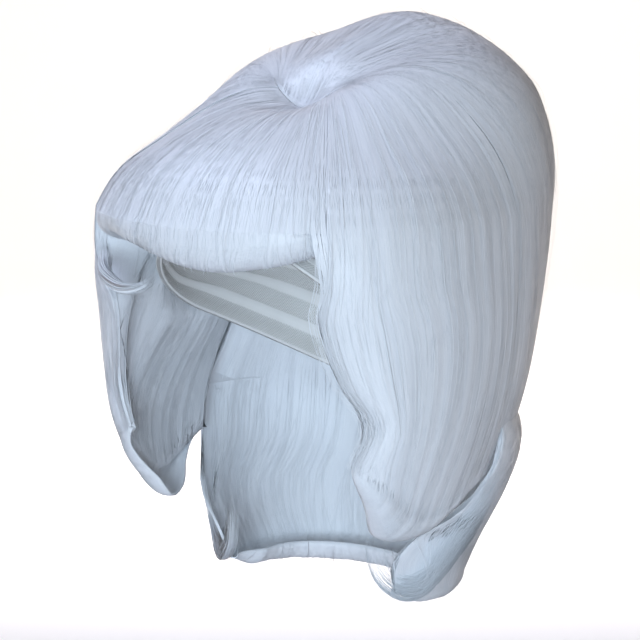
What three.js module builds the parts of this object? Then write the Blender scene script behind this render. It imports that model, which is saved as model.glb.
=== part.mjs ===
// Beehive wig: teased hair pieces sewn round a close-fitting cap.
// Millimetres, +Z up. The front opening looks along -Y and +X is the left as worn.
// The origin is the inside top of the cap.
import * as THREE from "three";
import { mergeVertices } from "three/addons/utils/BufferGeometryUtils.js";

// Hollow of the cap: half axes, from its widest level up to the top and down to the nape
const HOLLOW = { halfWidth: 76, halfLength: 96, above: 95, below: 130 };
const CAP_WALL = 2;
const CAP_RIM = { front: -38, side: -108, back: -158 };
const SEWING_GAP = 1.3; // between the cap and the hair on it
const SEAM_GAP = 0.5; // from a hair piece's long edge to the line between it and its neighbour

// The hair's outer form is measured from this centre: by elevation above it, by drop below it
const CENTRE = new THREE.Vector3(0, 25, -40);
const PART_ELEVATION = 66; // the point on the front of the crown that all the hair is combed from
const COMB_ELEVATION = 55; // the height at which the hair has turned to face its own side
const ROOT_START = 0.04; // the share of the way from that point where the pieces begin
const ROOT_RADIUS = 3; // how far from that point they begin
const COMB_LENGTH = 100; // the way from that point to the level of the centre, about

// Reach of the outer form from the centre, by the way that it faces
const FACING = { front: 0, temple: 50, side: 90, rear: 135, back: 180 };
const DOME = [
  { elevation: 0, front: 136, temple: 134, side: 120, rear: 131, back: 140 },
  { elevation: 10, front: 127, temple: 122, side: 114, rear: 134, back: 144 },
  { elevation: 20, front: 112, temple: 106, side: 108, rear: 136, back: 147 },
  { elevation: 30, front: 97, temple: 96, side: 103, rear: 136, back: 148 },
  { elevation: 45, front: 79, temple: 87, side: 100, rear: 126, back: 142 },
  { elevation: 55, front: 68, temple: 82, side: 96, rear: 112, back: 131 },
  { elevation: 70, front: 62, temple: 74, side: 84, rear: 94, back: 104 },
  { elevation: 90, front: 80, temple: 80, side: 80, rear: 80, back: 80 },
];
const SKIRT = [
  { drop: 0, front: 136, temple: 134, side: 120, rear: 131, back: 140 },
  { drop: 30, front: 136, temple: 137, side: 122, rear: 128, back: 133 },
  { drop: 60, front: 132, temple: 135, side: 122, rear: 123, back: 124 },
  { drop: 90, front: 128, temple: 134, side: 120, rear: 117, back: 112 },
  { drop: 110, front: 126, temple: 133, side: 117, rear: 112, back: 106 },
  { drop: 135, front: 120, temple: 126, side: 111, rear: 104, back: 98 },
  { drop: 165, front: 110, temple: 112, side: 101, rear: 94, back: 88 },
];

// Fringe: from its right edge to its left, how far it hangs below the centre and how wide it rolls under
const FRINGE = {
  front: -47,
  back: 37,
  hem: [
    { across: 0, drop: 8, roll: 13 },
    { across: 0.25, drop: 1, roll: 11 },
    { across: 0.45, drop: 3, roll: 13 },
    { across: 0.7, drop: 9, roll: 16 },
    { across: 0.87, drop: 6, roll: 15 },
    { across: 1, drop: 1, roll: 12 },
  ],
  thickness: [
    { along: 0, thickness: 40 },
    { along: 0.7, thickness: 40 },
    { along: 1, thickness: 30 },
    { along: 2, thickness: 8 },
  ],
  rollTurn: 150,
  frontDip: 7,
  frontWidth: 0.16,
  backDip: 7,
  backWidth: 0.16,
  locks: 7,
  lockDepth: 1.2,
};
const FRINGE_HANG = 26; // the drop below which nothing of the fringe is left

// Side panel: where its front edge and its rear edge lie at each drop, in degrees from the front,
// and how its front edge turns in and thins on the way down
const SIDE = {
  edges: [
    { drop: 0, front: 37, back: 98 },
    { drop: 30, front: 34.5, back: 98 },
    { drop: 60, front: 36.5, back: 98 },
    { drop: 85, front: 41, back: 97 },
    { drop: 105, front: 47, back: 96 },
    { drop: 135, front: 43.5, back: 94 },
    { drop: 165, front: 53, back: 91 },
  ],
  hem: [
    { across: 0, drop: 128, roll: 10 },
    { across: 0.35, drop: 156, roll: 15 },
    { across: 0.65, drop: 162, roll: 15 },
    { across: 1, drop: 146, roll: 14 },
  ],
  thickness: [
    { along: 0, thickness: 50 },
    { along: 1, thickness: 50 },
    { along: 1.4, thickness: 46 },
    { along: 1.65, thickness: 26 },
    { along: 1.85, thickness: 13 },
    { along: 2, thickness: 9 },
  ],
  frontEdge: [
    { along: 0, dip: 6, thickness: 50 },
    { along: 0.8, dip: 6, thickness: 50 },
    { along: 1.1, dip: 7, thickness: 38 },
    { along: 1.45, dip: 11, thickness: 10 },
    { along: 2, dip: 11, thickness: 8 },
  ],
  rollTurn: 165,
  frontWidth: 0.22,
  backDip: 3,
  backWidth: 0.2,
  locks: 6,
  lockDepth: 1.5,
};

// Beehive crown: combed back over the dome, ending in a thin hem over the nape hair
const CROWN = {
  front: 98,
  hemDrop: 112,
  thickness: [
    { along: 0, thickness: 60 },
    { along: 1.5, thickness: 60 },
    { along: 1.67, thickness: 20 },
    { along: 1.83, thickness: 11 },
    { along: 2, thickness: 4 },
  ],
  frontDip: 3,
  frontWidth: 0.06,
  backDip: 3,
  backWidth: 0.06,
  locks: 11,
  lockDepth: 1.2,
};

// Nape hair: half an oval round the lower opening at each height, with the hem rolled under
const NAPE_CENTRE_Y = 40;
const NAPE = [
  { z: -112, halfWidth: 88, back: 68, frontAngle: 92 },
  { z: -135, halfWidth: 98, back: 71, frontAngle: 92 },
  { z: -150, halfWidth: 106, back: 76, frontAngle: 92 },
  { z: -167, halfWidth: 112, back: 84, frontAngle: 89 },
  { z: -184, halfWidth: 110, back: 84, frontAngle: 88 },
  { z: -206, halfWidth: 101, back: 80, frontAngle: 84 },
  { z: -222, halfWidth: 93, back: 74, frontAngle: 62 },
  { z: -240, halfWidth: 83, back: 68, frontAngle: 50 },
  { z: -257, halfWidth: 76, back: 62, frontAngle: 49 },
];
const NAPE_FRONT_DEPTH = 0.8; // of the oval's half width, in front of its centre
const NAPE_ROLL = { endRadius: 10, backRadius: 15, thickness: 6, tuck: 20 };
const NAPE_RELIEF = { frontDip: 3, frontWidth: 0.06, backDip: 3, backWidth: 0.06, locks: 9, lockDepth: 1.6 };

// Temple curl: the small lock that swings in under the right end of the fringe
const TEMPLE_CURL = [
  { x: -80, y: -79, z: -66, radius: 4.5 },
  { x: -66, y: -94, z: -73, radius: 4.2 },
  { x: -46, y: -103, z: -78, radius: 3.6 },
  { x: -28, y: -105, z: -76, radius: 2.6 },
  { x: -19, y: -103, z: -68, radius: 1.2 },
];

const COLOURS = { hair: 0xdde4ef, cap: 0xe6e0d6 };

const rad = THREE.MathUtils.degToRad;
const { clamp, lerp } = THREE.MathUtils;
const smooth = (x) => THREE.MathUtils.smoothstep(x, 0, 1);

// Smooth curve through one column of a table, by another column that rises from row to row
function column(rows, key, name) {
  const at = rows.map((row) => row[key]);
  const value = rows.map((row) => row[name]);
  const last = rows.length - 1;
  const slope = value.map((_, i) => {
    const before = Math.max(i - 1, 0);
    const after = Math.min(i + 1, last);
    return (value[after] - value[before]) / (at[after] - at[before]);
  });
  return (x) => {
    const inside = clamp(x, at[0], at[last]);
    let i = 0;
    while (i < last - 1 && inside > at[i + 1]) i += 1;
    const step = at[i + 1] - at[i];
    const t = (inside - at[i]) / step;
    const rise = t * t * (3 - 2 * t);
    return (
      lerp(value[i], value[i + 1], rise) +
      step * t * (1 - t) * ((1 - t) * slope[i] - t * slope[i + 1])
    );
  };
}

// Reach of the outer form at one row of a table of facings, turned to an azimuth in degrees
function reachOf(rows, key) {
  const names = Object.keys(FACING);
  const columns = names.map((name) => column(rows, key, name));
  return (azimuth, x) => {
    const turned = Math.abs(((azimuth + 540) % 360) - 180);
    const here = names.map((name, i) => ({ facing: FACING[name], reach: columns[i](x) }));
    const mirrored = [
      { facing: -FACING.temple, reach: here[1].reach },
      ...here,
      { facing: 360 - FACING.rear, reach: here[3].reach },
    ];
    return column(mirrored, "facing", "reach")(turned);
  };
}

const domeReach = reachOf(DOME, "elevation");
const skirtReach = reachOf(SKIRT, "drop");

function direction(azimuth, elevation) {
  const level = Math.cos(rad(elevation));
  return new THREE.Vector3(
    level * Math.sin(rad(azimuth)),
    -level * Math.cos(rad(azimuth)),
    Math.sin(rad(elevation)),
  );
}

// Direction of a hair from the centre: from the part point round to its own side
function combed(azimuth, share) {
  const part = direction(0, PART_ELEVATION).multiplyScalar((1 - share) ** 2);
  const turn = direction(azimuth, COMB_ELEVATION).multiplyScalar(2 * share * (1 - share));
  const side = direction(azimuth, 0).multiplyScalar(share ** 2);
  return part.add(turn).add(side).normalize();
}

// Distance from a point inside the cap to its outer face along a direction
function capReach(from, along) {
  const centre = new THREE.Vector3(0, 0, -HOLLOW.above);
  const hit = (vertical) => {
    const scale = new THREE.Vector3(
      1 / (HOLLOW.halfWidth + CAP_WALL),
      1 / (HOLLOW.halfLength + CAP_WALL),
      1 / (vertical + CAP_WALL),
    );
    const start = from.clone().sub(centre).multiply(scale);
    const ray = along.clone().multiply(scale);
    const a = ray.lengthSq();
    const b = start.dot(ray);
    const c = start.lengthSq() - 1;
    return (Math.sqrt(Math.max(b * b - a * c, 0)) - b) / a;
  };
  const upper = hit(HOLLOW.above);
  const isAbove = from.z + upper * along.z >= centre.z;
  return isAbove ? upper : hit(HOLLOW.below);
}

// How far a piece's surface dips at its two long edges and swells along its locks
function relief(across, along, { frontDip, frontWidth, backDip, backWidth, locks, lockDepth }) {
  const front = 1 - clamp(across / frontWidth, 0, 1);
  const back = 1 - clamp((1 - across) / backWidth, 0, 1);
  const swell = Math.cos(2 * Math.PI * locks * across + 0.6 * along);
  return lockDepth * swell * smooth(along) - frontDip * front ** 2 - backDip * back ** 2;
}

// A point of a piece combed from the part: along runs 0 to 1 over the dome, 1 to 2 down, 2 to 3 round the roll
function combedPoint(piece, across, along, depth) {
  const drop = clamp(along - 1, 0, 1) * piece.hemAt(across);
  const fromPart = Math.max(ROOT_RADIUS, COMB_LENGTH * Math.min(along, 1));
  const seam = THREE.MathUtils.radToDeg(SEAM_GAP / fromPart);
  const azimuth = piece.side * lerp(piece.frontAt(drop) + seam, piece.backAt(drop) - seam, across);
  const raised = relief(across, along, { ...piece, frontDip: piece.frontDipAt(along) });
  const thickness = depth * piece.thicknessAt(Math.min(along, 2), across);
  if (along <= 1) {
    const way = combed(azimuth, lerp(ROOT_START, 1, along));
    const elevation = THREE.MathUtils.radToDeg(Math.asin(way.z));
    const turned = THREE.MathUtils.radToDeg(Math.atan2(way.x, -way.y));
    const outer = domeReach(turned, elevation) + raised;
    const inner = Math.max(outer - thickness, capReach(CENTRE, way) + SEWING_GAP);
    return CENTRE.clone().addScaledVector(way, Math.min(inner, outer));
  }
  const way = direction(azimuth, 0);
  const axis = new THREE.Vector3(0, CENTRE.y, CENTRE.z - drop);
  const outer = skirtReach(azimuth, drop) + raised;
  const cap = depth > 0 ? capReach(axis, way) + SEWING_GAP : 0;
  const inner = Math.max(outer - thickness, cap);
  if (along <= 2) return axis.addScaledVector(way, inner);
  const turn = rad(piece.rollTurn) * (along - 2);
  const roll = piece.rollAt(across);
  const radius = roll - thickness;
  axis.addScaledVector(way, outer - roll + radius * Math.cos(turn));
  axis.z -= radius * Math.sin(turn);
  return axis;
}

// A point of the nape hair: along runs 0 to 1 down to the hem, 1 to 2 round the roll and 2 to 3 up behind it
function napePoint(across, along, depth) {
  const z = lerp(NAPE[0].z, NAPE[NAPE.length - 1].z, Math.min(along, 1));
  const read = (name) => column(NAPE.map((row) => ({ ...row, below: -row.z })), "below", name)(-z);
  const front = read("frontAngle");
  const angle = rad(lerp(front, 360 - front, across));
  const inward = depth * NAPE_ROLL.thickness - relief(across, Math.min(along, 1), NAPE_RELIEF);
  const turn = Math.PI * clamp(along - 1, 0, 1);
  const radius = lerp(NAPE_ROLL.endRadius, NAPE_ROLL.backRadius, Math.sin(Math.PI * across));
  const fold = radius - (radius - inward) * Math.cos(turn);
  const rise = NAPE_ROLL.tuck * Math.max(along - 2, 0) - (radius - inward) * Math.sin(turn);
  const halfWidth = read("halfWidth") - fold;
  const isBehind = Math.cos(angle) < 0;
  const reach = (isBehind ? read("back") : read("halfWidth") * NAPE_FRONT_DEPTH) - fold;
  return new THREE.Vector3(
    halfWidth * Math.sin(angle),
    NAPE_CENTRE_Y - reach * Math.cos(angle),
    z + rise,
  );
}

// A point of the cap, from its top down to its rim
function capPoint(across, along, depth) {
  const azimuth = 360 * across;
  const facing = Math.abs(((azimuth + 540) % 360) - 180);
  const rim = column(
    [
      { facing: -90, z: CAP_RIM.side },
      { facing: 0, z: CAP_RIM.front },
      { facing: 90, z: CAP_RIM.side },
      { facing: 180, z: CAP_RIM.back },
      { facing: 270, z: CAP_RIM.side },
    ],
    "facing",
    "z",
  )(facing);
  const wall = CAP_WALL * (1 - depth);
  const level = rim + HOLLOW.above;
  const lowest = Math.acos(level / (level > 0 ? HOLLOW.above : HOLLOW.below));
  const tilt = lowest * along;
  const vertical = (Math.cos(tilt) > 0 ? HOLLOW.above : HOLLOW.below) + wall;
  return new THREE.Vector3(
    (HOLLOW.halfWidth + wall) * Math.sin(tilt) * Math.sin(rad(azimuth)),
    -(HOLLOW.halfLength + wall) * Math.sin(tilt) * Math.cos(rad(azimuth)),
    vertical * Math.cos(tilt) - HOLLOW.above,
  );
}

// Closed geometry from triangles of points, without those that have shrunk to a line
function closedGeometry(triangles) {
  const positions = triangles.flat().flatMap((point) => point.toArray());
  const loose = new THREE.BufferGeometry();
  loose.setAttribute("position", new THREE.Float32BufferAttribute(positions, 3));
  const merged = mergeVertices(loose, 1e-3);
  const kept = [];
  let volume = 0;
  const corner = (i) => new THREE.Vector3().fromBufferAttribute(merged.attributes.position, i);
  for (let i = 0; i < merged.index.count; i += 3) {
    const [a, b, c] = merged.index.array.slice(i, i + 3);
    if (a === b || b === c || c === a) continue;
    kept.push([a, b, c]);
    volume += corner(a).dot(corner(b).cross(corner(c)));
  }
  merged.setIndex((volume > 0 ? kept : kept.map(([a, b, c]) => [a, c, b])).flat());
  merged.computeVertexNormals();
  return merged;
}

// A wall between an outer and an inner face, each a function of across and along
function wall(pointAt, acrossSteps, alongStops, isRound = false) {
  const grid = (depth) =>
    alongStops.map((along) =>
      Array.from({ length: acrossSteps + 1 }, (_, i) => {
        const across = isRound ? (i % acrossSteps) / acrossSteps : i / acrossSteps;
        return pointAt(across, along, depth);
      }),
    );
  const outer = grid(0);
  const inner = grid(1);
  const rows = alongStops.length - 1;
  const triangles = [];
  const quad = (a, b, c, d) => triangles.push([a, b, c], [a, c, d]);
  for (let j = 0; j < rows; j += 1) {
    for (let i = 0; i < acrossSteps; i += 1) {
      quad(outer[j][i], outer[j][i + 1], outer[j + 1][i + 1], outer[j + 1][i]);
      quad(inner[j][i], inner[j + 1][i], inner[j + 1][i + 1], inner[j][i + 1]);
    }
    if (isRound) continue;
    quad(outer[j][0], outer[j + 1][0], inner[j + 1][0], inner[j][0]);
    quad(outer[j][acrossSteps], inner[j][acrossSteps], inner[j + 1][acrossSteps], outer[j + 1][acrossSteps]);
  }
  for (let i = 0; i < acrossSteps; i += 1) {
    quad(outer[0][i], inner[0][i], inner[0][i + 1], outer[0][i + 1]);
    quad(outer[rows][i], outer[rows][i + 1], inner[rows][i + 1], inner[rows][i]);
  }
  return closedGeometry(triangles);
}

// Stops along a hair: so many steps over each of its stretches
function stops(...steps) {
  return [0, ...steps.flatMap((count, stretch) =>
    Array.from({ length: count }, (_, i) => stretch + (i + 1) / count))];
}

function fringeGeometry() {
  const piece = {
    ...FRINGE,
    side: 1,
    frontAt: () => FRINGE.front,
    backAt: () => FRINGE.back,
    hemAt: column(FRINGE.hem, "across", "drop"),
    rollAt: column(FRINGE.hem, "across", "roll"),
    thicknessAt: column(FRINGE.thickness, "along", "thickness"),
    frontDipAt: () => FRINGE.frontDip,
  };
  return wall((a, s, d) => combedPoint(piece, a, s, d), 26, stops(8, 2, 4));
}

function sideGeometry(side) {
  const front = column(SIDE.edges, "drop", "front");
  const back = column(SIDE.edges, "drop", "back");
  const fringeEdge = side > 0 ? FRINGE.back : -FRINGE.front;
  const meetsFringe = (drop) => (fringeEdge - front(drop)) * (1 - smooth((drop - FRINGE_HANG) / 25));
  const thickness = column(SIDE.thickness, "along", "thickness");
  const edgeThickness = column(SIDE.frontEdge, "along", "thickness");
  const piece = {
    ...SIDE,
    side,
    frontAt: (drop) => front(drop) + meetsFringe(drop),
    backAt: back,
    hemAt: column(SIDE.hem, "across", "drop"),
    rollAt: column(SIDE.hem, "across", "roll"),
    thicknessAt: (along, across) =>
      lerp(edgeThickness(along), thickness(along), smooth(across / SIDE.frontWidth)),
    frontDipAt: column(SIDE.frontEdge, "along", "dip"),
  };
  return wall((a, s, d) => combedPoint(piece, a, s, d), 20, stops(8, 8, 5));
}

function crownGeometry() {
  const piece = {
    ...CROWN,
    side: 1,
    frontAt: () => CROWN.front,
    backAt: () => 360 - CROWN.front,
    hemAt: () => CROWN.hemDrop,
    thicknessAt: column(CROWN.thickness, "along", "thickness"),
    frontDipAt: () => CROWN.frontDip,
  };
  return wall((a, s, d) => combedPoint(piece, a, s, d), 36, stops(11, 6));
}

function napeGeometry() {
  return wall(napePoint, 30, stops(8, 5, 2));
}

function capGeometry() {
  return wall(capPoint, 28, stops(9), true);
}

// A lock with a round section that thins towards its tip
function curlGeometry(rows) {
  const path = new THREE.CatmullRomCurve3(rows.map((row) => new THREE.Vector3(row.x, row.y, row.z)));
  const radiusAt = column(rows.map((row, i) => ({ ...row, at: i / (rows.length - 1) })), "at", "radius");
  const steps = 14;
  const sides = 8;
  const frames = path.computeFrenetFrames(steps);
  const rings = frames.tangents.map((_, j) => {
    const middle = path.getPoint(j / steps);
    return Array.from({ length: sides }, (_unused, i) => {
      const turn = (2 * Math.PI * i) / sides;
      return middle.clone()
        .addScaledVector(frames.normals[j], radiusAt(j / steps) * Math.cos(turn))
        .addScaledVector(frames.binormals[j], radiusAt(j / steps) * Math.sin(turn));
    });
  });
  const triangles = [];
  for (let i = 0; i < sides; i += 1) {
    const next = (i + 1) % sides;
    for (let j = 0; j < steps; j += 1) {
      triangles.push([rings[j][i], rings[j][next], rings[j + 1][next]]);
      triangles.push([rings[j][i], rings[j + 1][next], rings[j + 1][i]]);
    }
    triangles.push([path.getPoint(0), rings[0][next], rings[0][i]]);
    triangles.push([path.getPoint(1), rings[steps][i], rings[steps][next]]);
  }
  return closedGeometry(triangles);
}

function piece(name, geometry, color, roughness) {
  const mesh = new THREE.Mesh(geometry, new THREE.MeshStandardMaterial({ color, roughness, metalness: 0 }));
  mesh.name = name;
  return mesh;
}

const wig = new THREE.Group();
wig.add(
  piece("cap", capGeometry(), COLOURS.cap, 0.9),
  piece("fringe", fringeGeometry(), COLOURS.hair, 0.45),
  piece("temple_curl", curlGeometry(TEMPLE_CURL), COLOURS.hair, 0.45),
  piece("beehive_crown", crownGeometry(), COLOURS.hair, 0.45),
  piece("side_panel_left", sideGeometry(1), COLOURS.hair, 0.45),
  piece("side_panel_right", sideGeometry(-1), COLOURS.hair, 0.45),
  piece("nape_roll", napeGeometry(), COLOURS.hair, 0.45),
);

export default wig;
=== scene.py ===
"""Beehive wig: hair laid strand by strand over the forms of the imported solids, on a net cap."""

import bpy
import numpy as np
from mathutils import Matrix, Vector


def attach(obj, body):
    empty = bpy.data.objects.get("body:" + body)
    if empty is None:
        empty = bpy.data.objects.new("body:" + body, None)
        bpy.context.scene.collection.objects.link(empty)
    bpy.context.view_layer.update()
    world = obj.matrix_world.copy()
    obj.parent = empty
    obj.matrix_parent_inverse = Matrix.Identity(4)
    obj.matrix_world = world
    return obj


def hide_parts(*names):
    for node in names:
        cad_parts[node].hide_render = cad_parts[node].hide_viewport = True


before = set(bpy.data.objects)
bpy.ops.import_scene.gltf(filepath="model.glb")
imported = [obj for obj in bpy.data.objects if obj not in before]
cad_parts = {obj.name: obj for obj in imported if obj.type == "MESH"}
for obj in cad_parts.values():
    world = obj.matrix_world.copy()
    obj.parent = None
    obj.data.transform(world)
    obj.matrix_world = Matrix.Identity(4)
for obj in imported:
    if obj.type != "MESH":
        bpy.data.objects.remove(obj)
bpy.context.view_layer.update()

MM = 0.001  # the sizes below are millimetres, and the scene is in metres
SEED = 11
FLAT = 0.16  # a strand's thickness for its width
ROUND = 0.12  # how far a strand's shading turns round it


def table(columns, *rows):
    """Rows of numbers as named columns."""
    return dict(zip(columns.split(), np.array(rows, float).T))


# The hollow of the cap, and its rim
HALF_WIDTH, HALF_LENGTH, ABOVE, BELOW = 76, 96, 95, 130
CAP_WALL = 2
CAP_RIM = table("facing z", (-90, -108), (0, -38), (90, -108), (180, -158), (270, -108))
SEWING_GAP = 1.3
SEAM_GAP = 0.1
LOCK_SHARE = 0.15  # of the solids' lock depth, because the strands give the rest
DIP_SHARE = 0.2  # of the solids' dips between pieces above the skirt, because strands fill the rest

# The hair's outer form, measured from a centre: by elevation above it and by drop below it
CENTRE = np.array([0, 25, -40.0])
MIDDLE = np.array([0, 60, -100.0])  # what the outsides face away from
PART_ELEVATION = 66
PART_HALF_ARC = 60  # the hairs leave the part along an arc
COMB_ELEVATION = 55
ROOT_START = 0.04
ROOT_RADIUS = 3
BEND = 0.16  # of the way over the dome: the shading is eased over this much where the skirt begins
COMB_LENGTH = 100
FACINGS = "temple front temple side rear back rear".split()
FACING_AT = np.array([-50, 0, 50, 90, 135, 180, 225.0])
DOME = table(
    "elevation front temple side rear back",
    (0, 136, 134, 120, 131, 140),
    (10, 127, 122, 114, 134, 144),
    (20, 112, 106, 108, 136, 147),
    (30, 97, 96, 103, 136, 148),
    (45, 79, 87, 100, 126, 142),
    (55, 68, 82, 96, 112, 131),
    (70, 62, 74, 84, 94, 104),
    (90, 84, 84, 84, 84, 84),
)
SKIRT = table(
    "drop front temple side rear back",
    (0, 136, 134, 120, 131, 140),
    (30, 136, 137, 122, 128, 133),
    (60, 132, 135, 122, 123, 124),
    (90, 128, 134, 120, 117, 112),
    (110, 126, 133, 117, 112, 106),
    (135, 120, 126, 111, 104, 98),
    (165, 110, 112, 101, 94, 88),
)

FRINGE_FRONT, FRINGE_BACK, FRINGE_HANG = -47, 37, 26
FRINGE_HEM = table(
    "across drop roll", (0, 8, 13), (0.25, 1, 11), (0.45, 3, 13), (0.7, 9, 16), (0.87, 6, 15), (1, 1, 12)
)
FRINGE_WALL = table("along thickness", (0, 40), (0.7, 40), (1, 30), (2, 8))

SIDE_EDGES = table(
    "drop front back",
    (0, 37, 98),
    (30, 34.5, 98),
    (60, 36.5, 98),
    (85, 41, 97),
    (105, 47, 96),
    (135, 43.5, 94),
    (165, 53, 91),
)
SIDE_HEM = table("across drop roll", (0, 128, 10), (0.35, 156, 15), (0.65, 162, 15), (1, 146, 14))
SIDE_WALL = table("along thickness", (0, 50), (1, 50), (1.4, 46), (1.65, 26), (1.85, 13), (2, 9))
SIDE_FRONT = table(
    "along dip thickness", (0, 1, 50), (0.8, 1, 50), (1.1, 2, 38), (1.45, 9, 10), (2, 11, 8)
)

CROWN_FRONT, CROWN_HEM = 98, 112
CROWN_WALL = table("along thickness", (0, 60), (1.5, 60), (1.67, 20), (1.83, 11), (2, 4))

NAPE_CENTRE_Y = 40
NAPE = table(
    "below half_width back front_angle",
    (112, 88, 68, 94),
    (135, 98, 71, 94),
    (150, 106, 76, 93),
    (167, 112, 84, 90),
    (184, 110, 84, 87),
    (206, 101, 80, 78),
    (222, 93, 74, 60),
    (240, 83, 68, 52),
    (257, 76, 62, 56),
)
NAPE_FRONT_DEPTH = 0.8
NAPE_END_ROLL, NAPE_BACK_ROLL, NAPE_WALL, NAPE_TUCK = 10, 15, 6, 20

TEMPLE_CURL = table(
    "at x y z radius",
    (0, -80, -79, -66, 4.5),
    (0.25, -66, -94, -73, 4.2),
    (0.5, -46, -103, -78, 3.6),
    (0.75, -28, -105, -76, 2.6),
    (1, -19, -103, -68, 1.2),
)

# Flick at each end of the nape: the line of its outermost strands, and the middle of its loop
FLICK = table(
    "x y z",
    (99, 27, -202),
    (95, 24, -225),
    (88, 20, -246),
    (78, 13, -259),
    (68, 7, -262),
    (59, 1, -257),
    (52, -3, -247),
    (49, -5, -230),
    (53, -2, -216),
)
FLICK_MIDDLE = (70, 8, -234)


def unit(v):
    """A vector over its own length."""
    return v / np.maximum(np.linalg.norm(v, axis=-1, keepdims=True), 1e-9)


def smooth(x):
    """Three x squared less two x cubed, between nothing and one."""
    x = np.clip(x, 0, 1)
    return x * x * (3 - 2 * x)


def lerp(a, b, t):
    """From a to b by the share t."""
    return a + (b - a) * t


def ends(across, width):
    """One over the middle of a piece, falling to nothing over a width at each long edge."""
    return smooth(across / width) * smooth((1 - across) / width)


def curve(at, value, x):
    """Cubic through rows: at each row its slope is that of the line from the row before to the row after."""
    last = len(at) - 1
    before, after = np.maximum(np.arange(last + 1) - 1, 0), np.minimum(np.arange(last + 1) + 1, last)
    run = (at[after] - at[before]).reshape((-1,) + (1,) * (value.ndim - 1))
    slope = (value[after] - value[before]) / run
    x = np.clip(x, at[0], at[-1])
    i = np.clip(np.searchsorted(at, x) - 1, 0, last - 1)
    step = at[i + 1] - at[i]
    t = (x - at[i]) / step

    def pick(rows, row):
        return rows[row] if rows.ndim == 1 else np.take_along_axis(rows, row[None], 0)[0]

    rise = lerp(pick(value, i), pick(value, i + 1), t * t * (3 - 2 * t))
    return rise + step * t * (1 - t) * ((1 - t) * pick(slope, i) - t * pick(slope, i + 1))


def reach(form, key, azimuth, x):
    """Distance to the outer form: each facing's column at x, then a cubic round the facings."""
    turned = np.abs((azimuth + 540) % 360 - 180)
    values = np.stack([curve(form[key], form[name], x) for name in FACINGS])
    return curve(FACING_AT, values, turned)


def direction(azimuth, elevation):
    """Unit vector by degrees from the front towards the left side, and degrees up."""
    a, e = np.broadcast_arrays(np.radians(azimuth), np.radians(elevation))
    return np.stack([np.cos(e) * np.sin(a), -np.cos(e) * np.cos(a), np.sin(e)], -1)


def combed(azimuth, share):
    """Quadratic curve of directions: from a place on the part's arc, by the comb line, out to the azimuth."""
    s = share[..., None]
    part = direction(PART_HALF_ARC * np.sin(np.radians(azimuth)), PART_ELEVATION)
    turn, side = direction(azimuth, COMB_ELEVATION), direction(azimuth, 0)
    return unit(part * (1 - s) ** 2 + turn * 2 * s * (1 - s) + side * s**2)


def cap_reach(start, way):
    """Distance along a ray from inside the cap to its outer face, an ellipsoid above and another below."""
    middle = np.array([0, 0, -ABOVE])

    def hit(vertical):
        axes = np.array([HALF_WIDTH, HALF_LENGTH, vertical]) + CAP_WALL
        p, d = (start - middle) / axes, way / axes
        a, b, c = (d * d).sum(-1), (p * d).sum(-1), (p * p).sum(-1) - 1
        return (np.sqrt(np.maximum(b * b - a * c, 0)) - b) / a

    upper = hit(ABOVE)
    return np.where(start[..., 2] + upper * way[..., 2] >= -ABOVE, upper, hit(BELOW))


def relief(across, along, piece):
    """Swell of the locks, which grows as the hair spreads from the part, less a dip at each long edge,
    which grows with the square of the way into it."""
    front = 1 - np.clip(across / piece["front_width"], 0, 1)
    back = 1 - np.clip((1 - across) / piece["back_width"], 0, 1)
    turns = 2 * np.pi * piece["locks"] * across
    swell = np.cos(turns + 0.6 * along) * np.sin(0.37 * turns + 1.1) + 0.2 * np.cos(2.3 * turns - 0.9 * along)
    locks = LOCK_SHARE * piece["lock_depth"] * swell * smooth(along) * np.clip(along, 0, 1)
    dips = piece["front_dip"](along) * front**2 + piece["back_dip"] * back**2
    dips = dips * smooth(along * 1.5) * lerp(DIP_SHARE, 1, smooth((along - 0.95) / 0.5))
    return locks - dips


def combed_point(piece, across, along, depth):
    """A point of hair combed from the part: along 0 to 1 over the dome, 1 to 2 down the skirt and 2 to 3
    round the roll. Depth 0 is the outer face and 1 the inner one, which lies no deeper than the cap."""
    across, along, depth = np.broadcast_arrays(across, along, depth)
    drop = np.clip(along - 1, 0, piece["fall"]) * piece["hem"](across)
    seam = np.degrees(SEAM_GAP / np.maximum(ROOT_RADIUS, COMB_LENGTH * np.minimum(along, 1)))
    azimuth = lerp(piece["front"](drop, across) + seam, piece["back"](drop) - seam, across)
    azimuth = piece["side"] * (azimuth - piece["lean"](along, drop) * np.sin(np.pi * np.clip(across, 0, 1)))
    raised = relief(across, along, piece)
    thickness = piece["thickness"](np.minimum(along, 2), across)

    up = combed(azimuth, np.clip(lerp(ROOT_START, 1, along), 0.002, 1))
    elevation = np.degrees(np.arcsin(up[..., 2]))
    turned = np.degrees(np.arctan2(up[..., 0], -up[..., 1]))
    outer = reach(DOME, "elevation", turned, elevation) + raised
    centre = np.broadcast_to(CENTRE, up.shape)
    inner = np.minimum(np.maximum(outer - thickness, cap_reach(centre, up) + SEWING_GAP), outer)
    dome = CENTRE + up * lerp(outer, inner, depth)[..., None]

    level = direction(azimuth, 0)
    axis = CENTRE - drop[..., None] * np.array([0, 0, 1.0])
    outer = reach(SKIRT, "drop", azimuth, drop) + raised
    inner = np.maximum(outer - thickness, cap_reach(axis, level) + SEWING_GAP)
    skirt = axis + level * lerp(outer, inner, depth)[..., None]
    if "roll" in piece:
        turn = np.radians(piece["roll_turn"]) * (along - 2)
        roll = piece["roll"](across)
        radius = roll - thickness * depth
        away = outer - roll + radius * np.cos(turn)
        under = np.stack([0 * turn, 0 * turn, -radius * np.sin(turn)], -1)
        skirt = np.where(along[..., None] > 2, axis + level * away[..., None] + under, skirt)
    return np.where(along[..., None] <= 1, dome, skirt)


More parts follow.
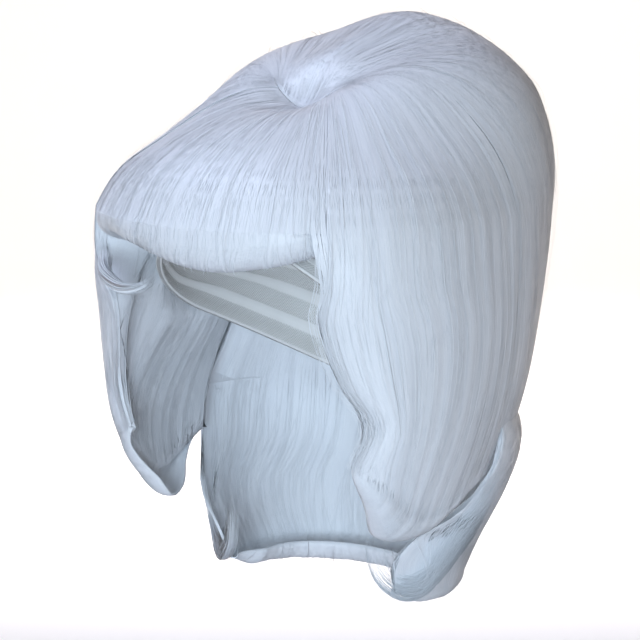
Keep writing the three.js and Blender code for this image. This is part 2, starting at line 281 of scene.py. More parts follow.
def nape_point(across, along, depth):
    """A point of the nape hair, half an oval at each height: along 0 to 1 down, 1 to 2 round the roll
    and 2 to 3 up behind it."""
    across, along, depth = np.broadcast_arrays(across, along, depth)
    below = lerp(NAPE["below"][0], NAPE["below"][-1], np.clip(along, 0, 1))
    half, back, front = (curve(NAPE["below"], NAPE[k], below) for k in ("half_width", "back", "front_angle"))
    angle = np.radians(lerp(front, 360 - front, across))
    inward = depth * NAPE_WALL - relief(across, np.minimum(along, 1), NAPE_PIECE)
    turn = np.pi * np.clip(along - 1, 0, 1)
    radius = lerp(NAPE_END_ROLL, NAPE_BACK_ROLL, np.sin(np.pi * np.clip(across, 0, 1)))
    radius = radius * lerp(0.35, 1, ends(across, 0.08))
    fold = radius - (radius - inward) * np.cos(turn)
    rise = NAPE_TUCK * np.maximum(along - 2, 0) - (radius - inward) * np.sin(turn)
    deep = np.where(np.cos(angle) < 0, back, half * NAPE_FRONT_DEPTH) - fold
    return np.stack([(half - fold) * np.sin(angle), NAPE_CENTRE_Y - deep * np.cos(angle), rise - below], -1)


def cap_point(across, along, depth):
    """A point of the cap, round by across, from its top to its rim by along, and outside at depth 0."""
    azimuth = 360 * across
    rim = curve(CAP_RIM["facing"], CAP_RIM["z"], np.abs((azimuth + 540) % 360 - 180))
    level = rim + ABOVE
    tilt = np.arccos(level / np.where(level > 0, ABOVE, BELOW)) * along
    wall = CAP_WALL * (1 - depth)
    vertical = np.where(np.cos(tilt) > 0, ABOVE, BELOW) + wall
    a = np.radians(azimuth)
    return np.stack([
        (HALF_WIDTH + wall) * np.sin(tilt) * np.sin(a),
        -(HALF_LENGTH + wall) * np.sin(tilt) * np.cos(a),
        vertical * np.cos(tilt) - ABOVE,
    ], -1)


def constant(value):
    """A function that gives the same value everywhere."""
    return lambda x: value + 0 * x


FRINGE_PIECE = {
    "side": 1,
    "fall": 1,
    "front": lambda drop, a: FRINGE_FRONT + 0 * drop,
    "back": constant(FRINGE_BACK),
    "lean": lambda s, drop: 5 * smooth(s - 0.3) + 8 * np.clip(s - 2, 0, 1),
    "hem": lambda a: curve(FRINGE_HEM["across"], FRINGE_HEM["drop"], a),
    "roll": lambda a: curve(FRINGE_HEM["across"], FRINGE_HEM["roll"], a),
    "roll_turn": 150,
    "thickness": lambda s, a: curve(FRINGE_WALL["along"], FRINGE_WALL["thickness"], s),
    "front_dip": constant(7),
    "front_width": 0.16,
    "back_dip": 3,
    "back_width": 0.16,
    "locks": 7,
    "lock_depth": 1.2,
}


def side_piece(side):
    """Values of a side panel: its front edge leaves the fringe's edge below the fringe, and its wall thins
    from the full table to the front edge's one over a width."""
    fringe_edge = FRINGE_BACK if side > 0 else -FRINGE_FRONT

    def front(drop, across):
        edge = curve(SIDE_EDGES["drop"], SIDE_EDGES["front"], drop)
        calm = lerp(fringe_edge, SIDE_EDGES["front"][-1], drop / SIDE_EDGES["drop"][-1])
        edge = lerp(edge, calm, smooth(across / 0.35))
        return lerp(fringe_edge, edge, smooth((drop - FRINGE_HANG) / 25))

    def thickness(along, across):
        edge = curve(SIDE_FRONT["along"], SIDE_FRONT["thickness"], along)
        full = curve(SIDE_WALL["along"], SIDE_WALL["thickness"], along)
        return lerp(edge, full, smooth(across / 0.22))

    return {
        "side": side,
        "fall": 1,
        "front": front,
        "back": lambda drop: curve(SIDE_EDGES["drop"], SIDE_EDGES["back"], drop),
        "lean": lambda s, drop: 8 * smooth((drop - 60) / 100) + 14 * np.clip(s - 2, 0, 1),
        "hem": lambda a: curve(SIDE_HEM["across"], SIDE_HEM["drop"], a),
        "roll": lambda a: curve(SIDE_HEM["across"], SIDE_HEM["roll"], a) * lerp(0.2, 1, ends(a, 0.3)),
        "roll_turn": 165,
        "thickness": thickness,
        "front_dip": lambda s: curve(SIDE_FRONT["along"], SIDE_FRONT["dip"], s),
        "front_width": 0.22,
        "back_dip": 1,
        "back_width": 0.2,
        "locks": 6,
        "lock_depth": 1.5,
    }


CROWN_PIECE = {
    "side": 1,
    "fall": 1.3,
    "front": lambda drop, a: CROWN_FRONT + 0 * drop,
    "back": constant(360 - CROWN_FRONT),
    "lean": lambda s, drop: 0 * s,
    "hem": constant(CROWN_HEM),
    "thickness": lambda s, a: curve(CROWN_WALL["along"], CROWN_WALL["thickness"], s),
    "front_dip": constant(1.5),
    "front_width": 0.06,
    "back_dip": 1.5,
    "back_width": 0.06,
    "locks": 11,
    "lock_depth": 1.2,
}
NAPE_PIECE = {
    "front_dip": constant(3),
    "front_width": 0.06,
    "back_dip": 3,
    "back_width": 0.06,
    "locks": 9,
    "lock_depth": 1.6,
}


def combed_by(piece):
    """The combed point as a function of across, along and depth alone."""
    return lambda across, along, depth: combed_point(piece, across, along, depth)


fringe_at, crown_at = combed_by(FRINGE_PIECE), combed_by(CROWN_PIECE)
left_at, right_at = combed_by(side_piece(1)), combed_by(side_piece(-1))


# Meshes

def make(name, points, faces, uvs, material, slot, *nodes, normals=None, soft=True):
    """One object from arrays of points in millimetres, faces and their UVs, soft where its faces blend."""
    mesh = bpy.data.meshes.new(name)
    corners = np.concatenate([f.ravel() for f in faces]).astype(np.int32)
    sizes = np.concatenate([np.full(len(f), f.shape[1]) for f in faces])
    mesh.vertices.add(len(points))
    mesh.vertices.foreach_set("co", (points * MM).astype(np.float32).ravel())
    mesh.loops.add(len(corners))
    mesh.loops.foreach_set("vertex_index", corners)
    mesh.polygons.add(len(sizes))
    mesh.polygons.foreach_set("loop_start", (np.cumsum(sizes) - sizes).astype(np.int32))
    mesh.polygons.foreach_set("use_smooth", np.full(len(sizes), soft))
    layer = mesh.uv_layers.new(name="OFBake")
    layer.uv.foreach_set("vector", np.concatenate([u.reshape(-1, 2) for u in uvs]).astype(np.float32).ravel())
    mesh.update()
    mesh.validate()
    if normals is not None:
        mesh.normals_split_custom_set_from_vertices(normals)
    made = bpy.data.objects.new(name, mesh)
    made.data.materials.append(material)
    bpy.context.scene.collection.objects.link(made)
    if slot:
        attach(made, "root")
    if nodes:
        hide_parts(*nodes)
    return made


def slab(name, point_at, across, along, material, slot, *nodes):
    """Closed wall: each row's ring runs out along the outer face and back along the inner one, rows join
    to the next, and ladders of faces close the first and the last row. Only the two wide faces are soft."""
    n, m = len(across), len(along)
    a, s = np.meshgrid(across, along)
    ring = np.concatenate([point_at(a, s, 0.0), point_at(a, s, 1.0)[:, ::-1]], axis=1)
    size = 2 * n
    j, i = np.meshgrid(np.arange(m - 1), np.arange(size), indexing="ij")
    k = (i + 1) % size
    sides = np.stack([j * size + i, j * size + k, (j + 1) * size + k, (j + 1) * size + i], -1).reshape(-1, 4)
    u = np.stack([i, i + 1, i + 1, i], -1) / size
    v = 0.02 + 0.96 * np.stack([j, j, j + 1, j + 1], -1) / (m - 1)
    e = np.arange(n - 1)
    first = np.stack([e, size - 1 - e, size - 2 - e, e + 1], -1)
    last = first[:, ::-1] + (m - 1) * size
    end_u = np.stack([e, e, e + 1, e + 1], -1) / n
    low = np.stack([end_u, np.tile([0.0, 0.012, 0.012, 0.0], (n - 1, 1))], -1)
    high = np.stack([end_u[:, ::-1], np.tile([0.99, 1.0, 1.0, 0.99], (n - 1, 1))], -1)
    points = ring.reshape(-1, 3)
    faces, uvs = [sides, first, last], [np.stack([u, v], -1).reshape(-1, 4, 2), low, high]
    soft = np.concatenate([(i % n != n - 1).ravel(), np.zeros(2 * (n - 1), bool)])
    if volume(points, faces) < 0:
        faces, uvs = [f[:, ::-1] for f in faces], [c[:, ::-1] for c in uvs]
    return make(name, points, faces, uvs, material, slot, *nodes, soft=soft)


def volume(points, faces):
    """Six times the volume inside faces of four corners, each cut into two triangles."""
    quads = points[np.concatenate(faces)]
    first, second = quads[:, :3], quads[:, [0, 2, 3]]
    tri = np.concatenate([first, second])
    return (tri[:, 0] * np.cross(tri[:, 1], tri[:, 2])).sum()


def laid(point_at, across, along, depth=0.0, lift=0.0, facing=1, on_edge=False):
    """Centre lines of strands on a face, raised by lift along its normal, and that normal.
    The normal is square to a step across, or on a long edge to a step through the wall, and to a stride from
    behind to ahead, which is longer where the skirt begins, so that the bend there is shaded softly.
    It points away from the middle: stop by stop over the dome, and below it strand by strand."""
    depth = depth + 0 * along
    here = point_at(across, along, depth)
    beside = point_at(across + 1e-3, along, depth) - here
    step = point_at(across, along, depth + 0.05) - here if on_edge else beside
    stride = 1e-3 + BEND * (1 - smooth(np.abs(along - 1) / (2 * BEND)))
    ahead = point_at(across, along + stride, depth) - point_at(across, along - stride, depth)
    out = unit(np.cross(step, ahead))
    away = -facing * beside if on_edge else facing * (here - MIDDLE)
    agree = (out * away).sum(-1, keepdims=True)
    over_dome = (along < 1)[..., None] & (not on_edge)
    out = out * np.sign(np.where(over_dome, agree, agree.sum(1, keepdims=True)))
    return here + out * np.asarray(lift)[..., None], out


def tubes(name, sets, material, slot, *nodes, hub=None):
    """Closed strands: round each centre line a flat triangle of three points, wide across the strand,
    thin along its normal and shrinking to both ends. Strands that lie on a face are shaded with it,
    and free ones as a mass round its hub, which is a point or a line."""
    points, normals, faces, tips, uv, tip_uv, base = [], [], [], [], [], [], 0
    for (centre, out), width, tone in sets:
        count, stops = centre.shape[:2]
        along = unit(np.gradient(centre, axis=1))
        side = unit(np.cross(along, out))
        up = np.cross(side, along)
        turn = np.radians([90, 210, 330])[:, None]
        offset = np.cos(turn) * side[:, :, None] + FLAT * np.sin(turn) * up[:, :, None]
        radial = np.cos(turn) * side[:, :, None] + np.sin(turn) * up[:, :, None]
        points.append((centre[:, :, None] + width[:, :, None, None] * offset).reshape(-1, 3))
        lit = up / ROUND if hub is None else 2 * unit((centre - hub) * (1, 1, 0.5))
        normals.append(unit(lit[:, :, None] + radial).reshape(-1, 3))
        s, k, r = np.meshgrid(np.arange(count), np.arange(stops - 1), np.arange(3), indexing="ij")
        q = (r + 1) % 3
        at = base + (s * stops + k) * 3
        faces.append(np.stack([at + r, at + 3 + r, at + 3 + q, at + q], -1).reshape(-1, 4))
        low, high = tone[s] + 0.001 * r, tone[s] + 0.001 * (r + 1)
        near, far = k / (stops - 1), (k + 1) / (stops - 1)
        corners = [(low, near), (low, far), (high, far), (high, near)]
        uv.append(np.stack([np.stack(c, -1) for c in corners], -2).reshape(-1, 4, 2))
        tip = base + np.arange(count)[:, None] * stops * 3 + np.arange(3)
        tips += [tip, tip[:, ::-1] + (stops - 1) * 3]
        spot = np.array([[0, 0], [0.001, 0], [0, 0.001]])
        place = np.stack([tone, 0 * tone], -1)[:, None]
        tip_uv += [place + spot, place + spot + np.array([0, 0.998])]
        base += count * stops * 3
    faces, uvs = [np.concatenate(faces), np.concatenate(tips)], [np.concatenate(uv), np.concatenate(tip_uv)]
    points, normals = np.concatenate(points), np.concatenate(normals)
    return make(name, points, faces, uvs, material, slot, *nodes, normals=normals)


def taper(t, width, root=0.2, tip=0.35):
    """Half width along a strand: it swells from its root and thins to its tip."""
    full = smooth(t / root) * smooth((1 - t) / tip) ** 0.6
    return width[:, None] * (0.06 + 0.94 * full)


def gathered(
    rng, count, stops, locks, start, end, stations, low=0.0, high=1.0, stray=0.06, height=1.0, spill=(0, 0)
):
    """Strands in locks: each keeps its place in a lock, the lock narrows and sways on its way,
    and its middle stands higher than its sides. Stations turn a share of the length into along,
    and the stop nearest to the bend where the skirt begins is put on the bend itself.
    Strands spill over the front seam as far as the skirt, and over the back one all the way."""
    t = np.linspace(0, 1, stops)
    share = lerp(start[:, None], end[:, None], t)
    along = np.interp(share, *stations)
    off_bend = np.abs(along - 1)
    along = np.where((off_bend < 0.1) & (off_bend == off_bend.min(1, keepdims=True)), 1.0, along)
    lock = rng.integers(0, locks, count)
    middle = (np.arange(locks) + rng.uniform(0, 1, locks)) / locks
    place = rng.uniform(-1, 1, count)
    wide, drawn = rng.uniform(1.0, 2.2, locks)[lock], rng.uniform(0.0, 0.3, locks)[lock][:, None]
    sway = np.sin(2 * np.pi * (0.9 * share + rng.uniform(0, 1, locks)[lock][:, None]))
    pace, phase = rng.uniform(0.5, 1.3, count)[:, None], rng.uniform(0, 1, count)[:, None]
    own = np.sin(2 * np.pi * (pace * share + phase))
    loose = np.where(rng.random(count) < stray, 1.6, 0.22)[:, None]
    offset = (wide * place)[:, None] * (1 - drawn * smooth(share)) + 0.25 * sway + loose * own
    before = spill[0] * (1 - smooth((along - 0.9) / 0.5))
    inside = 1 - np.abs(1 - np.abs(middle[lock][:, None] + offset / locks))
    across = lerp(low - before, high + spill[1], inside)
    swell = rng.uniform(0.0, 0.04, locks)[lock] * (1 - place**2) + rng.uniform(0.0, 0.05, count)
    lift = height * (swell[:, None] + 0.1 * (loose > 1) * (1 + own))
    tone = np.clip(rng.uniform(0.1, 0.9, locks)[lock] * 0.4 + rng.uniform(0, 0.6, count), 0.02, 0.97)
    return across, along, lift, t, tone


# Materials

class Value:
    """A node's output that takes part in sums as a number does."""

    def __init__(self, paint, socket):
        self.paint, self.socket = paint, socket

    def math(self, operation, a, b):
        return self.paint.node("Math", {"operation": operation}, {0: a, 1: b})

    def __add__(self, other):
        return self.math("ADD", self, other)

    def __sub__(self, other):
        return self.math("SUBTRACT", self, other)

    def __mul__(self, other):
        return self.math("MULTIPLY", self, other)

    def __rsub__(self, other):
        return self.math("SUBTRACT", other, self)

    __radd__ = __add__
    __rmul__ = __mul__


class Paint:
    """One material and its nodes."""

    def __init__(self, name, roughness):
        self.material = bpy.data.materials.new(name)
        self.material.use_nodes = True
        self.tree = self.material.node_tree
        self.shader = self.tree.nodes["Principled BSDF"]
        self.shader.inputs["Roughness"].default_value = roughness

    def join(self, target, value):
        if isinstance(value, Value):
            self.tree.links.new(value.socket, target)
        else:
            target.default_value = value

    def node(self, kind, settings, inputs, output=0):
        made = self.tree.nodes.new("ShaderNode" + kind)
        for key, value in settings.items():
            setattr(made, key, value)
        for key, value in inputs.items():
            self.join(made.inputs[key], value)
        return Value(self, made.outputs[output])

    def feed(self, name, value):
        self.join(self.shader.inputs[name], value)

    def uv(self):
        return self.node("UVMap", {"uv_map": "OFBake"}, {})

    def scaled(self, vector, x, y, z=1):
        return self.node("VectorMath", {"operation": "MULTIPLY"}, {0: vector, 1: (x, y, z)})

    def part(self, vector, axis):
        return self.node("SeparateXYZ", {}, {0: vector}, axis)

    def noise(self, vector, scale, detail=2.0):
        inputs = {"Vector": vector, "Scale": scale, "Detail": detail, "Roughness": 0.5}
        return self.node("TexNoise", {"noise_dimensions": "3D"}, inputs)

    def wave(self, value, turns):
        return self.node("Math", {"operation": "SINE"}, {0: value * (turns * 2 * np.pi)})

    def ramp(self, value, low, high):
        inputs = {0: value, 1: low, 2: high, 3: 0.0, 4: 1.0}
        return self.node("MapRange", {"interpolation_type": "SMOOTHSTEP"}, inputs)

    def mix(self, factor, a, b):
        a, b = ((*c, 1) if isinstance(c, tuple) else c for c in (a, b))
        return self.node("Mix", {"data_type": "RGBA"}, {0: factor, 6: a, 7: b}, 2)

    def bump(self, height, distance):
        return self.node("Bump", {}, {"Height": height, "Distance": distance, "Strength": 1.0})


# The hair's tones; SHADE serves only as painted shade at the strands' roots.
PALE, COOL, SHADE = (0.82, 0.84, 0.86), (0.79, 0.81, 0.84), (0.74, 0.76, 0.80)


def strand_paint():
    """Fibres: the tone is the strand's place across the UV map, with slow changes along it, and painted shade
    at the root.
    """
    p = Paint("hair_fibre", roughness=0.42)
    uv = p.uv()
    tone, along = p.part(uv, 0), p.part(uv, 1)
    drift = p.noise(p.scaled(uv, 60, 2.5), 1.0)
    light = p.ramp(tone * 0.7 + drift * 0.5, 0.25, 0.85)
    # painted shade: the strand darkens towards SHADE over the first sixth of its length from the root
    root = 1 - p.ramp(along, 0.0, 0.16)
    p.feed("Base Color", p.mix(root * 0.35, p.mix(light, COOL, PALE), SHADE))
    return p.material


def form_paint():
    """The hair below the strands: streaks that run with it, in colour and as fine ridges, faint at roots."""
    p = Paint("hair_mass", roughness=0.5)
    uv = p.uv()
    shown = p.ramp(p.part(uv, 1), 0.0, 0.12)
    fine = p.noise(p.scaled(uv, 900, 5), 1.0, 3.0)
    broad = p.noise(p.scaled(uv, 90, 2), 1.0, 2.0)
    p.feed("Base Color", p.mix(p.ramp(fine * 0.5 + broad * 0.5, 0.3, 0.7) * shown, COOL, PALE))
    p.feed("Normal", p.bump(fine * shown, 0.00012))
    return p.material


def cap_paint():
    """Net of the cap: crossed threads as a product of two waves, with a paler tape of weft along each row."""
    p = Paint("cap_net", roughness=0.85)
    uv = p.uv()
    threads = p.wave(p.part(uv, 0), 300) * p.wave(p.part(uv, 1), 280)
    tape = p.ramp(p.wave(p.part(uv, 1) + 0.01, 27.08), 0.1, 0.6)
    wear = p.noise(p.scaled(uv, 30, 30), 1.0, 2.0)
    shade = p.ramp(threads * 0.35 * (1 - tape) + tape * 0.5 + wear * 0.5, 0.0, 1.0)
    p.feed("Base Color", p.mix(shade, (0.64, 0.63, 0.60), (0.83, 0.82, 0.79)))
    p.feed("Normal", p.bump(threads * (1 - tape) + tape * 2, 0.00015))
    return p.material


fibre, mass, net = strand_paint(), form_paint(), cap_paint()


# Forms below the strands

def feathered(point_at, start, end, edge=0.03):
    """The same hair with its wall thinning to a fifth from one place along it to another, and to a fifth
    over a width at each long edge."""
    def at(across, along, depth):
        thin = (1 - 0.8 * smooth((along - start) / (end - start))) * lerp(0.2, 1, ends(across, edge))
        return point_at(across, along, depth * thin)
    return at


def under(point_at, sink=0.12):
    """The form's face, sunk by a little below the face that the strands lie on."""
    def at(across, along, depth):
        thickness = np.linalg.norm(point_at(across, along, 1.0) - point_at(across, along, 0.0), axis=-1)
        inset = np.minimum(sink / np.maximum(thickness, 0.1), 0.4)
        return point_at(across, along, np.where(depth < 0.5, inset, 1 - inset))
    return at


def onward(*steps):
    """Stops along a hair, from the part itself: so many steps over each stretch."""
    return np.concatenate([[-0.039, 0.0]] + [k + (np.arange(n) + 1) / n for k, n in enumerate(steps)])


fringe_at = feathered(fringe_at, 2.1, 2.7)
left_at, right_at = feathered(left_at, 1.8, 2.4), feathered(right_at, 1.8, 2.4)
nape_at = feathered(nape_point, 0.9, 1.8, 0.08)

for name, point_at, columns, stops, node in (
    ("fringe_form", fringe_at, 81, onward(24, 3, 12)[:-3], "fringe"),
    ("crown_form", crown_at, 111, onward(32, 18, 10)[:-9], "beehive_crown"),
    ("side_left_form", left_at, 61, onward(20, 20, 12)[:-4], "side_panel_left"),
    ("side_right_form", right_at, 61, onward(20, 20, 12)[:-4], "side_panel_right"),
    ("nape_form", nape_at, 101, onward(18, 12, 6)[1:-6], "nape_roll"),
):
    slab(name, under(point_at), np.linspace(0, 1, columns), stops, mass, "hair", node)


# Strands

rng = np.random.default_rng(SEED)
SIDE_WAY = ([0, 0.48, 0.78, 1], [-0.04, 1, 2, 2.8])
FRINGE_WAY = ([0, 0.62, 0.67, 1], [-0.04, 1, 2, 3])
CROWN_WAY = ([0, 0.66, 1], [-0.04, 1, 2.16])
NAPE_WAY = ([0, 0.45, 0.85, 1], [0.0, 1, 2, 2.7])


def outer_set(
    point_at, count, stops, locks, way, start, end, width, low=0.0, high=1.0, tip=0.35, spill=(0, 0)
):
    """Strands in locks on the outer face."""
    a, s, lift, t, tone = gathered(rng, count, stops, locks, start, end, way, low, high, spill=spill)
    return laid(point_at, a, s, 0.0, lift), taper(t, rng.uniform(0.75, 1.25, count) * width, tip=tip), tone


def inner_set(point_at, count, stops, locks, way, start, end, width):
    """Strands in locks on the inner face, more of them astray."""
    a, s, lift, t, tone = gathered(rng, count, stops, locks, start, end, way, 0.0, 1.0, stray=0.2, height=0.8)
    return laid(point_at, a, s, 1.0, lift + 0.2, -1), taper(t, rng.uniform(0.75, 1.25, count) * width), tone


def edge_set(point_at, count, stops, way, start, end, width, across, facing):
    """Strands on the wall between the outer and the inner face at a long edge."""
    t = np.linspace(0, 1, stops)
    along = np.interp(lerp(start[:, None], end[:, None], t), *way)
    through = rng.uniform(0, 1, count)[:, None] + 0 * along
    lift = rng.uniform(0, 0.8, count)[:, None] + 0 * along
    line = laid(point_at, across + 0 * along, along, through, lift, facing, True)
    return line, taper(t, rng.uniform(0.75, 1.25, count) * width), rng.uniform(0.1, 0.9, count)


def some(count, low, high, power=1.0):
    """Random numbers between two limits, nearer to the high one for a power below one."""
    return lerp(low, high, rng.random(count) ** power)


def roots(count, spread):
    """Where strands start: about a seventh of them at the part, and the rest on the way from it."""
    return np.maximum(some(count, -0.2 * spread, spread, 0.9), 0.005)


for name, point_at, spill in (("side_left", left_at, (0.06, 0.05)), ("side_right", right_at, (0.02, 0.05))):
    n, k = 680, 180
    tubes(name + "_strands", [
        outer_set(point_at, n, 28, 30, SIDE_WAY, roots(n, 0.5), some(n, 0.8, 0.98), 0.32, spill=spill),
        inner_set(point_at, k, 12, 14, SIDE_WAY, some(k, 0.46, 0.55), some(k, 0.78, 0.9), 0.24),
        edge_set(point_at, 180, 12, SIDE_WAY, some(180, 0.46, 0.55), some(180, 0.74, 0.9), 0.3, 0.0, 1),
    ], fibre, "hair")

n = 840
tubes("fringe_strands", [
    outer_set(fringe_at, n, 30, 34, FRINGE_WAY, roots(n, 0.6), some(n, 0.75, 1.0, 0.6), 0.3, spill=(0.03, 0)),
], fibre, "hair")

n = 740
for name, low, high in (("crown_left", 0.0, 0.502), ("crown_right", 0.498, 1.0)):
    tubes(name + "_strands", [
        outer_set(crown_at, n, 25, 30, CROWN_WAY, roots(n, 0.6), some(n, 0.93, 1.0), 0.36, low, high, 0.14),
    ], fibre, "hair")

n, k = 740, 220
tubes("nape_strands", [
    outer_set(nape_at, n, 18, 44, NAPE_WAY, some(n, 0.0, 0.25), some(n, 0.7, 0.86, 0.7), 0.34),
    inner_set(nape_at, k, 12, 30, NAPE_WAY, some(k, 0.0, 0.2), some(k, 0.4, 0.8), 0.24),
    edge_set(nape_at, 60, 14, NAPE_WAY, some(60, 0.0, 0.3), some(60, 0.7, 0.9), 0.26, 0.0, 1),
    edge_set(nape_at, 60, 14, NAPE_WAY, some(60, 0.0, 0.3), some(60, 0.7, 0.9), 0.26, 1.0, -1),
], fibre, "hair")


def curl_set(count, stops):
    """A lock along the temple curl's line: each strand ends where it likes and winds round the line,
    closer to it towards the tip."""
    t = np.linspace(0, 1, stops)
    at = some(count, 0.72, 1.0)[:, None] * t
    x, y, z, radius = (curve(TEMPLE_CURL["at"], TEMPLE_CURL[key], at) for key in ("x", "y", "z", "radius"))
    line = np.stack([x, y, z], -1)
    ahead = unit(np.gradient(line, axis=1))
    side = unit(np.cross(ahead, np.array([0, 0, 1.0])))
    up = np.cross(side, ahead)
    turn = rng.uniform(0, 2 * np.pi, count)[:, None, None] + 1.2 * at[..., None]
    far = np.sqrt(rng.random(count))[:, None] * (radius + 1.6 * at**4)
    out = np.cos(turn) * side + np.sin(turn) * up
    width = taper(t, rng.uniform(0.7, 1.2, count) * 0.22)
    return (line + far[..., None] * out, out), width, rng.uniform(0.1, 0.9, count)


curl = curl_set(200, 16)
tubes("temple_curl_strands", [curl], fibre, "hair", "temple_curl", hub=curl[0][0].mean(0))


def flick_set(count, stops, side):
    """A flick at an end of the nape: strands leave their own places on the nape's outside, gather on one line
    round a loop and curl up. Each is drawn in to the loop's middle by its own share, set off to one side
    of the loop, and ends where it likes."""
    t = np.linspace(0, 1, stops)
    place = some(count, 0.0, 0.2, 1.2)[:, None] + 0 * t
    face = nape_at(place if side > 0 else 1 - place, lerp(some(count, 0.45, 0.75)[:, None], 1, t), 0.0)
    way = np.linspace(0, 1, len(FLICK["x"]))
    at = some(count, 0.6, 1.0, 0.7)[:, None] * t
    drawn = (0.55 * rng.random(count) ** 2)[:, None] * smooth(at / 0.5)
    off = rng.normal(0, 1.4, count)[:, None]
    x, y, z = (lerp(curve(way, FLICK[key], at), middle, drawn) for key, middle in zip(FLICK, FLICK_MIDDLE))
    loop = np.stack([side * (x + 0.54 * off), y - 0.84 * off, z], -1)
    centre = lerp(face, loop, smooth((t - 0.05) / 0.5)[:, None])
    out = unit(centre - np.array(FLICK_MIDDLE) * (side, 1, 1))
    return (centre, out), taper(t, rng.uniform(0.7, 1.2, count) * 0.22), rng.uniform(0.1, 0.9, count)


for name, side in (("nape_flick_left", 1), ("nape_flick_right", -1)):
    flick = flick_set(230, 16, side)
    inward = np.outer(np.linspace(30, 4, 16), (-0.9 * side, 0.44, 0))
    tubes(name, [flick], fibre, "hair", hub=flick[0][0].mean(0) + inward)


def loose_set(point_at, count, stops, way, start, end, low, high, height):
    """Hairs that stand off a face: each leaves it, arches over it by its own height and drifts across it."""
    t = np.linspace(0, 1, stops)
    along = np.interp(lerp(start[:, None], end[:, None], t), *way)
    drift = rng.normal(0, 0.02, count)[:, None] * t
    across = np.clip(rng.uniform(low, high, count)[:, None] + drift, low, high)
    lift = (height * rng.random(count) ** 2)[:, None] * np.sin(np.pi * (0.15 + 0.8 * t)) ** 1.5 + 0.3
    line, width = laid(point_at, across, along, 0.0, lift), taper(t, rng.uniform(0.08, 0.13, count))
    return line, width, rng.uniform(0.3, 0.9, count)


def loose_part(count, low, high):
    """Where loose hairs start and end: each takes a stretch of its own between two shares of the length."""
    start = some(count, low, lerp(low, high, 0.6))
    return start, np.minimum(start + some(count, 0.25, 0.5) * (high - low), high)


TIPS_PIECE = {**FRINGE_PIECE, "roll": lambda a: 1.12 * FRINGE_PIECE["roll"](a), "roll_turn": 105}
tubes("loose_hairs", [
    loose_set(crown_at, 220, 12, CROWN_WAY, *loose_part(220, 0.1, 1.0), 0.0, 1.0, 4),
    loose_set(left_at, 110, 12, SIDE_WAY, *loose_part(110, 0.1, 0.95), 0.0, 1.05, 4),
    loose_set(right_at, 110, 12, SIDE_WAY, *loose_part(110, 0.1, 0.95), 0.0, 1.05, 4),
    loose_set(left_at, 60, 12, SIDE_WAY, *loose_part(60, 0.46, 0.95), -0.04, 0.03, 1),
    loose_set(right_at, 60, 12, SIDE_WAY, *loose_part(60, 0.46, 0.95), -0.04, 0.03, 1),
    loose_set(fringe_at, 90, 12, FRINGE_WAY, *loose_part(90, 0.1, 0.9), 0.0, 1.0, 3),
    loose_set(combed_by(TIPS_PIECE), 100, 12, FRINGE_WAY, *loose_part(100, 0.5, 1.0), 0.0, 1.0, 0.5),
    loose_set(nape_at, 110, 12, NAPE_WAY, *loose_part(110, 0.1, 0.95), 0.0, 1.0, 4),
], fibre, "hair", hub=MIDDLE)


# Cap

WEFT_ROWS = 13


def cap_face(across, along, depth):
    """The cap with its rows of weft: inside, each row stands out as a rounded ridge, and the rim is bound."""
    row = np.maximum(np.cos(2 * np.pi * WEFT_ROWS * along), 0) ** 2
    ridge = 0.45 * row * (depth > 0.5) * smooth(along * 6)
    bound = 0.5 * smooth((along - 0.955) / 0.02) * smooth((1.0 - along) / 0.01 + 0.3)
    return cap_point(across, along, depth + ridge + np.where(depth > 0.5, bound, -0.2 * bound))


def cap_mesh():
    """Rings from the top to the rim outside and back to the top inside, with a fan at each end."""
    around, down = 72, 91
    a = np.arange(around) / around
    s = np.linspace(1 / down, 1, down)
    outer = cap_face(*np.meshgrid(a, s), 0.0)
    inner = cap_face(*np.meshgrid(a, s[::-1]), 1.0)
    rows = np.concatenate([outer, inner])
    count = len(rows)
    j, i = np.meshgrid(np.arange(count - 1), np.arange(around), indexing="ij")
    k = (i + 1) % around
    here, below = j * around, (j + 1) * around
    sides = np.stack([here + i, below + i, below + k, here + k], -1).reshape(-1, 4)
    v = np.concatenate([s, s[::-1]]) * 0.48
    v[down:] = 1 - v[down:]
    u = np.stack([i, i, i + 1, i + 1], -1) / around
    vv = np.stack([v[j], v[j + 1], v[j + 1], v[j]], -1)
    top = np.array([[0, 0, CAP_WALL], [0, 0, 0.0]])
    points = np.concatenate([rows.reshape(-1, 3), top])
    e = np.arange(around)
    f = (e + 1) % around
    low = np.stack([np.full(around, count * around), e, f], -1)
    end = (count - 1) * around
    high = np.stack([np.full(around, count * around + 1), end + f, end + e], -1)
    fan = np.stack([(e + 0.5) / around, 0 * e, e / around, 0 * e + v[0], (e + 1) / around, 0 * e + v[0]], -1)
    fan = fan.reshape(-1, 3, 2)
    back = np.stack([fan[:, [0, 2, 1], 0], 1 - fan[:, [0, 2, 1], 1]], -1)
    uvs = [np.stack([u, vv], -1).reshape(-1, 4, 2), np.concatenate([fan, back])]
    return points, [sides, np.concatenate([low, high])], uvs


cap = make("cap_net", *cap_mesh(), net, "cap", "cap")


# Stage, light and camera

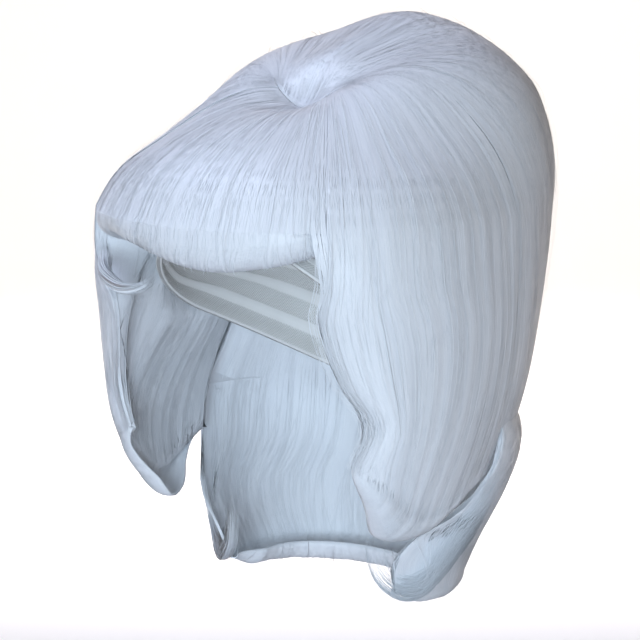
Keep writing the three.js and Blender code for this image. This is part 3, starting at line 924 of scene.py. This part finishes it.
def bowl(radius, bend, height, floor):
    """Pale studio sweep: a flat disc, a quarter round at its edge and a wall, turned about the vertical."""
    around, flat_rings = 96, 7
    arc = np.linspace(0, np.pi / 2, 12)
    flat = np.linspace(0.02, radius - bend, flat_rings + 1)[:-1]
    r = np.concatenate([flat, radius - bend + bend * np.sin(arc), [radius]])
    z = np.concatenate([np.zeros(flat_rings), bend - bend * np.cos(arc), [height]]) + floor
    a = np.linspace(0, 2 * np.pi, around, endpoint=False)
    points = np.stack([np.outer(r, np.cos(a)), np.outer(r, np.sin(a)), np.outer(z, np.ones(around))], -1)
    j, i = np.meshgrid(np.arange(len(r) - 1), np.arange(around), indexing="ij")
    k = (i + 1) % around
    here, beyond = j * around, (j + 1) * around
    quads = np.stack([here + i, beyond + i, beyond + k, here + k], -1).reshape(-1, 4)
    u, v = np.stack([i, i, i + 1, i + 1], -1) / around, np.stack([j, j + 1, j + 1, j], -1) / len(r)
    return points.reshape(-1, 3) / MM, [quads], [np.stack([u, v], -1).reshape(-1, 4, 2)]


def floor_paint():
    """Matt pale paper with the slightest mottling."""
    p = Paint("studio_paper", roughness=0.9)
    place = p.node("TexCoord", {}, {}, "Object")
    p.feed("Base Color", p.mix(p.noise(place, 3.0), (0.86, 0.86, 0.86), (0.89, 0.89, 0.89)))
    return p.material


FLOOR = -0.42
make("studio_sweep", *bowl(3.0, 0.9, 2.6, FLOOR), floor_paint(), "")


def lamp(name, azimuth, elevation, distance, size, power, colour, outwards=False):
    """Square soft light, turned to the middle of the object, or away from it to the sweep."""
    middle = Vector((0, 0.016, -0.1))
    data = bpy.data.lights.new(name, "AREA")
    data.shape = "SQUARE"
    data.size, data.energy, data.color = size, power, colour
    data.spread = np.radians(180 if outwards else 60)
    lit = bpy.data.objects.new(name, data)
    lit.location = middle + Vector(direction(azimuth, elevation)) * distance
    aim = (lit.location - middle) * Vector((1, 1, -0.8)) if outwards else middle - lit.location
    lit.rotation_euler = aim.to_track_quat("-Z", "Y").to_euler()
    lit.visible_camera = False
    bpy.context.scene.collection.objects.link(lit)


lamp("key", 28, 4, 1.7, 0.8, 3.0, (0.67, 0.83, 1.0))
lamp("top_light", -60, 60, 1.7, 1.0, 2.8, (0.62, 0.72, 1.0))
lamp("sweep_light", 218, 40, 1.2, 1.6, 40, (1.0, 0.94, 0.9), True)

world = bpy.data.worlds.new("studio")
world.use_nodes = True
world.node_tree.nodes["Background"].inputs[0].default_value = (1.0, 0.8, 0.66, 1)
world.node_tree.nodes["Background"].inputs[1].default_value = 0.17
bpy.context.scene.world = world
bpy.context.scene.view_settings.view_transform = "Standard"

AIM = Vector((0, 0.016, -0.108))
camera = bpy.data.objects.new("camera", bpy.data.cameras.new("camera"))
camera.location = AIM + Vector(direction(38, 10)) * 1.3
camera.rotation_euler = (AIM - camera.location).to_track_quat("-Z", "Y").to_euler()
camera.data.lens = 126
camera.data.sensor_width = 36
bpy.context.scene.collection.objects.link(camera)
bpy.context.scene.camera = camera
